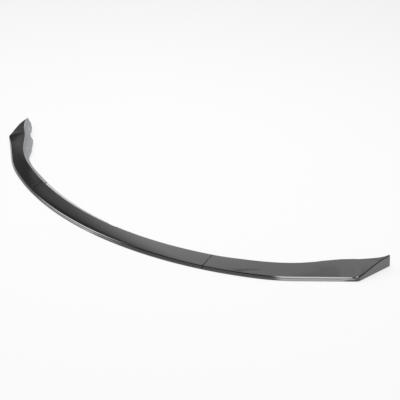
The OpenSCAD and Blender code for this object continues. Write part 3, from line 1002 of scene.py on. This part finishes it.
def white_world(ambient):
    """A world that is white where it is seen or mirrored, and a dimmer light elsewhere."""
    world = bpy.data.worlds.new("studio")
    tree = empty_tree(world)
    light = add_node(tree, "ShaderNodeBackground", {"Color": WHITE, "Strength": ambient})
    white = add_node(tree, "ShaderNodeBackground", {"Color": WHITE, "Strength": 1.0})
    mix = add_node(tree, "ShaderNodeMixShader", {
        0: seen_rays(tree), 1: light.outputs[0], 2: white.outputs[0]})
    add_node(tree, "ShaderNodeOutputWorld", {"Surface": mix.outputs[0]})
    bpy.context.scene.world = world


def pale_floor(colour):
    """A matt floor that the eye sees almost white, but for soft shadows close to the part."""
    corners = np.array([[-1, -1, 0], [1, -1, 0], [1, 1, 0], [-1, 1, 0]])*[FLOOR_HALF, FLOOR_HALF, 1]
    mesh = bpy.data.meshes.new("floor")
    mesh.from_pydata((corners - [0, 0, FLOOR_DROP]).tolist(), [], [[0, 1, 2, 3]])
    material = bpy.data.materials.new("matt_floor")
    tree = empty_tree(material)
    matt = add_node(tree, "ShaderNodeBsdfDiffuse", {"Color": tuple(colour) + (1,)})
    near = add_node(tree, "ShaderNodeAmbientOcclusion", {"Distance": FLOOR_NEAR}, samples=8)
    clear = add_node(tree, "ShaderNodeMapRange", {
        "Value": near.outputs["AO"], "From Min": FLOOR_OPEN[0], "From Max": FLOOR_OPEN[1],
        "To Min": 0.0, "To Max": FLOOR_WHITE})
    share = add_node(tree, "ShaderNodeMath", {
        0: seen_rays(tree), 1: clear.outputs["Result"]}, operation="MULTIPLY")
    white = add_node(tree, "ShaderNodeEmission", {"Color": WHITE, "Strength": 1.0})
    mix = add_node(tree, "ShaderNodeMixShader", {
        0: share.outputs[0], 1: matt.outputs[0], 2: white.outputs[0]})
    add_node(tree, "ShaderNodeOutputMaterial", {"Surface": mix.outputs[0]})
    mesh.materials.append(material)
    floor = add_object("floor", mesh)


def photo_camera():
    """The camera, with a long lens, at the place that was matched to the photograph."""
    data = bpy.data.cameras.new("camera")
    data.sensor_width = 36
    data.lens = CAMERA_LENS
    data.clip_start = 0.05
    data.clip_end = 60
    camera = add_object("camera", data)
    camera.location = CAMERA_PLACE
    camera.rotation_euler = (math.radians(90 - CAMERA_UP), 0, math.radians(CAMERA_ROUND))
    bpy.context.scene.camera = camera


class LIP_OT_build_centre(bpy.types.Operator):
    """Builds the centre section with its tongues, ribs and openings"""
    bl_idname = "lip.build_centre"
    bl_label = "Build centre section"

    def execute(self, context):
        sizes = context.scene.lip_sizes
        lip = Lip(sizes)
        joint = Joint(lip)
        stop = lip.seam - sizes.seam_gap/2
        s = with_round_ends(np.arange(0, stop - SEAM_CLEAR, NOSE_STEP), [(stop, -1)])
        materials = section_materials(context.scene.lip_finish, centre_painted_reflection_grey)
        centre = section_mesh(
            lip, "centre_moulding", s, [(stop, -1)], [stop], materials, both_sides=True)
        combine(centre, [joint.tongue(), mirrored(joint.tongue())], "UNION")
        combine(centre, [joint.rib(), mirrored(joint.rib())], "UNION")
        foot = sizes.band_width + SEAT_RUN + FOOT_SIZE - sizes.depth/2
        relief = rounded_rectangle(
            -MIDDLE_GAP/2, MIDDLE_GAP/2, foot, foot + FLANGE_W, PLAN_ROUND)
        openings = [flange_opening(lip, lip.at_x(NOSE_HOLE_X)), *joint.screw_holes()]
        openings += [mirrored(shape) for shape in openings]
        combine(centre, [prism(relief, 0, sizes.nose_edge), *openings], "DIFFERENCE")
        smooth(centre.data)
        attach(centre, "root")
        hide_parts("centre_section")
        return {"FINISHED"}


class LIP_OT_build_sides(bpy.types.Operator):
    """Builds the left and right sections with their bosses and openings"""
    bl_idname = "lip.build_sides"
    bl_label = "Build side sections"

    def execute(self, context):
        sizes = context.scene.lip_sizes
        lip = Lip(sizes)
        joint = Joint(lip)
        start = lip.seam + sizes.seam_gap/2
        ends = [(start, 1), (lip.end, -1)]
        corner = (lip.wing_end - CORNER_CLEAR, lip.corner_end + CORNER_CLEAR)
        s = with_round_ends(np.concatenate([
            np.arange(start + SEAM_CLEAR, corner[0], WING_STEP),
            np.arange(corner[0], corner[1], CORNER_STEP),
            np.arange(corner[1], lip.end - TIP_GREY, RETURN_STEP),
            np.arange(lip.end - TIP_GREY, lip.end - TIP_CLEAR, TIP_STEP)]), ends)
        openings = [
            flange_opening(lip, lip.seam + SEAM_HOLE_S), flange_opening(lip, lip.end - NECK_HOLE_AT),
            flange_opening(lip, lip.end - LUG_HOLE_AT),
            flange_opening(lip, lip.end - SLOT_AT, SLOT_TRAVEL), *joint.pilots()]
        materials = section_materials(context.scene.lip_finish, painted_reflection_grey)
        for side, flip in (("right", False), ("left", True)):
            piece = section_mesh(lip, side + "_moulding", s, ends, [start], materials, flip=flip)
            turned = mirrored if flip else tuple
            combine(piece, [turned(shape) for shape in joint.bosses()], "UNION")
            combine(piece, [turned(shape) for shape in openings], "DIFFERENCE")
            smooth(piece.data)
            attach(piece, "root")
            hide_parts(side + "_section")
        return {"FINISHED"}


class LIP_OT_dress_screws(bpy.types.Operator):
    """Gives the joint screws their zinc plating"""
    bl_idname = "lip.dress_screws"
    bl_label = "Dress screws"

    def execute(self, context):
        zinc = zinc_plated_steel(context.scene.lip_finish)
        for name in ("left_joint_screws", "right_joint_screws"):
            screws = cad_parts[name]
            screws.data.materials.clear()
            screws.data.materials.append(zinc)
        return {"FINISHED"}


class LIP_OT_build_studio(bpy.types.Operator):
    """Builds the floor, the lights and the camera"""
    bl_idname = "lip.build_studio"
    bl_label = "Build studio"

    def execute(self, context):
        studio = context.scene.lip_studio
        photo_camera()
        white_world(studio.ambient)
        pale_floor(studio.floor)
        softbox("overhead_softbox", (-0.3, 0.4, 2.5), (-0.3, 0.4, 0), 4.2, 3.2, studio.overhead)
        softbox("front_softbox", (0.5, -3.6, 2.2), (0, 0, 0), 3.0, 1.6, studio.fill)
        reflection_dome(studio)
        return {"FINISHED"}


class LIP_PT_panel(bpy.types.Panel):
    """Sidebar panel of the splitter lip"""
    bl_label = "Front splitter lip"
    bl_idname = "LIP_PT_panel"
    bl_space_type = "VIEW_3D"
    bl_region_type = "UI"
    bl_category = "Splitter"

    def draw(self, context):
        for group in (context.scene.lip_sizes, context.scene.lip_finish, context.scene.lip_studio):
            box = self.layout.box()
            for key in group.bl_rna.properties.keys():
                if key not in ("rna_type", "name"):
                    box.prop(group, key)
        for operator in OPERATORS:
            self.layout.operator(operator.bl_idname)


OPERATORS = (LIP_OT_build_centre, LIP_OT_build_sides, LIP_OT_dress_screws, LIP_OT_build_studio)
CLASSES = (LipSizes, LipFinish, StudioSettings, *OPERATORS, LIP_PT_panel)


def register():
    """Registers the classes and hangs the settings on the scene."""
    for cls in CLASSES:
        bpy.utils.register_class(cls)
    bpy.types.Scene.lip_sizes = PointerProperty(type=LipSizes)
    bpy.types.Scene.lip_finish = PointerProperty(type=LipFinish)
    bpy.types.Scene.lip_studio = PointerProperty(type=StudioSettings)


def unregister():
    """Takes the settings and the classes away again."""
    del bpy.types.Scene.lip_studio
    del bpy.types.Scene.lip_finish
    del bpy.types.Scene.lip_sizes
    for cls in reversed(CLASSES):
        bpy.utils.unregister_class(cls)


def main():
    register()
    bpy.context.scene.view_settings.view_transform = "Standard"
    bpy.ops.lip.build_centre()
    bpy.ops.lip.build_sides()
    bpy.ops.lip.dress_screws()
    bpy.ops.lip.build_studio()


if __name__ == "__main__":
    main()
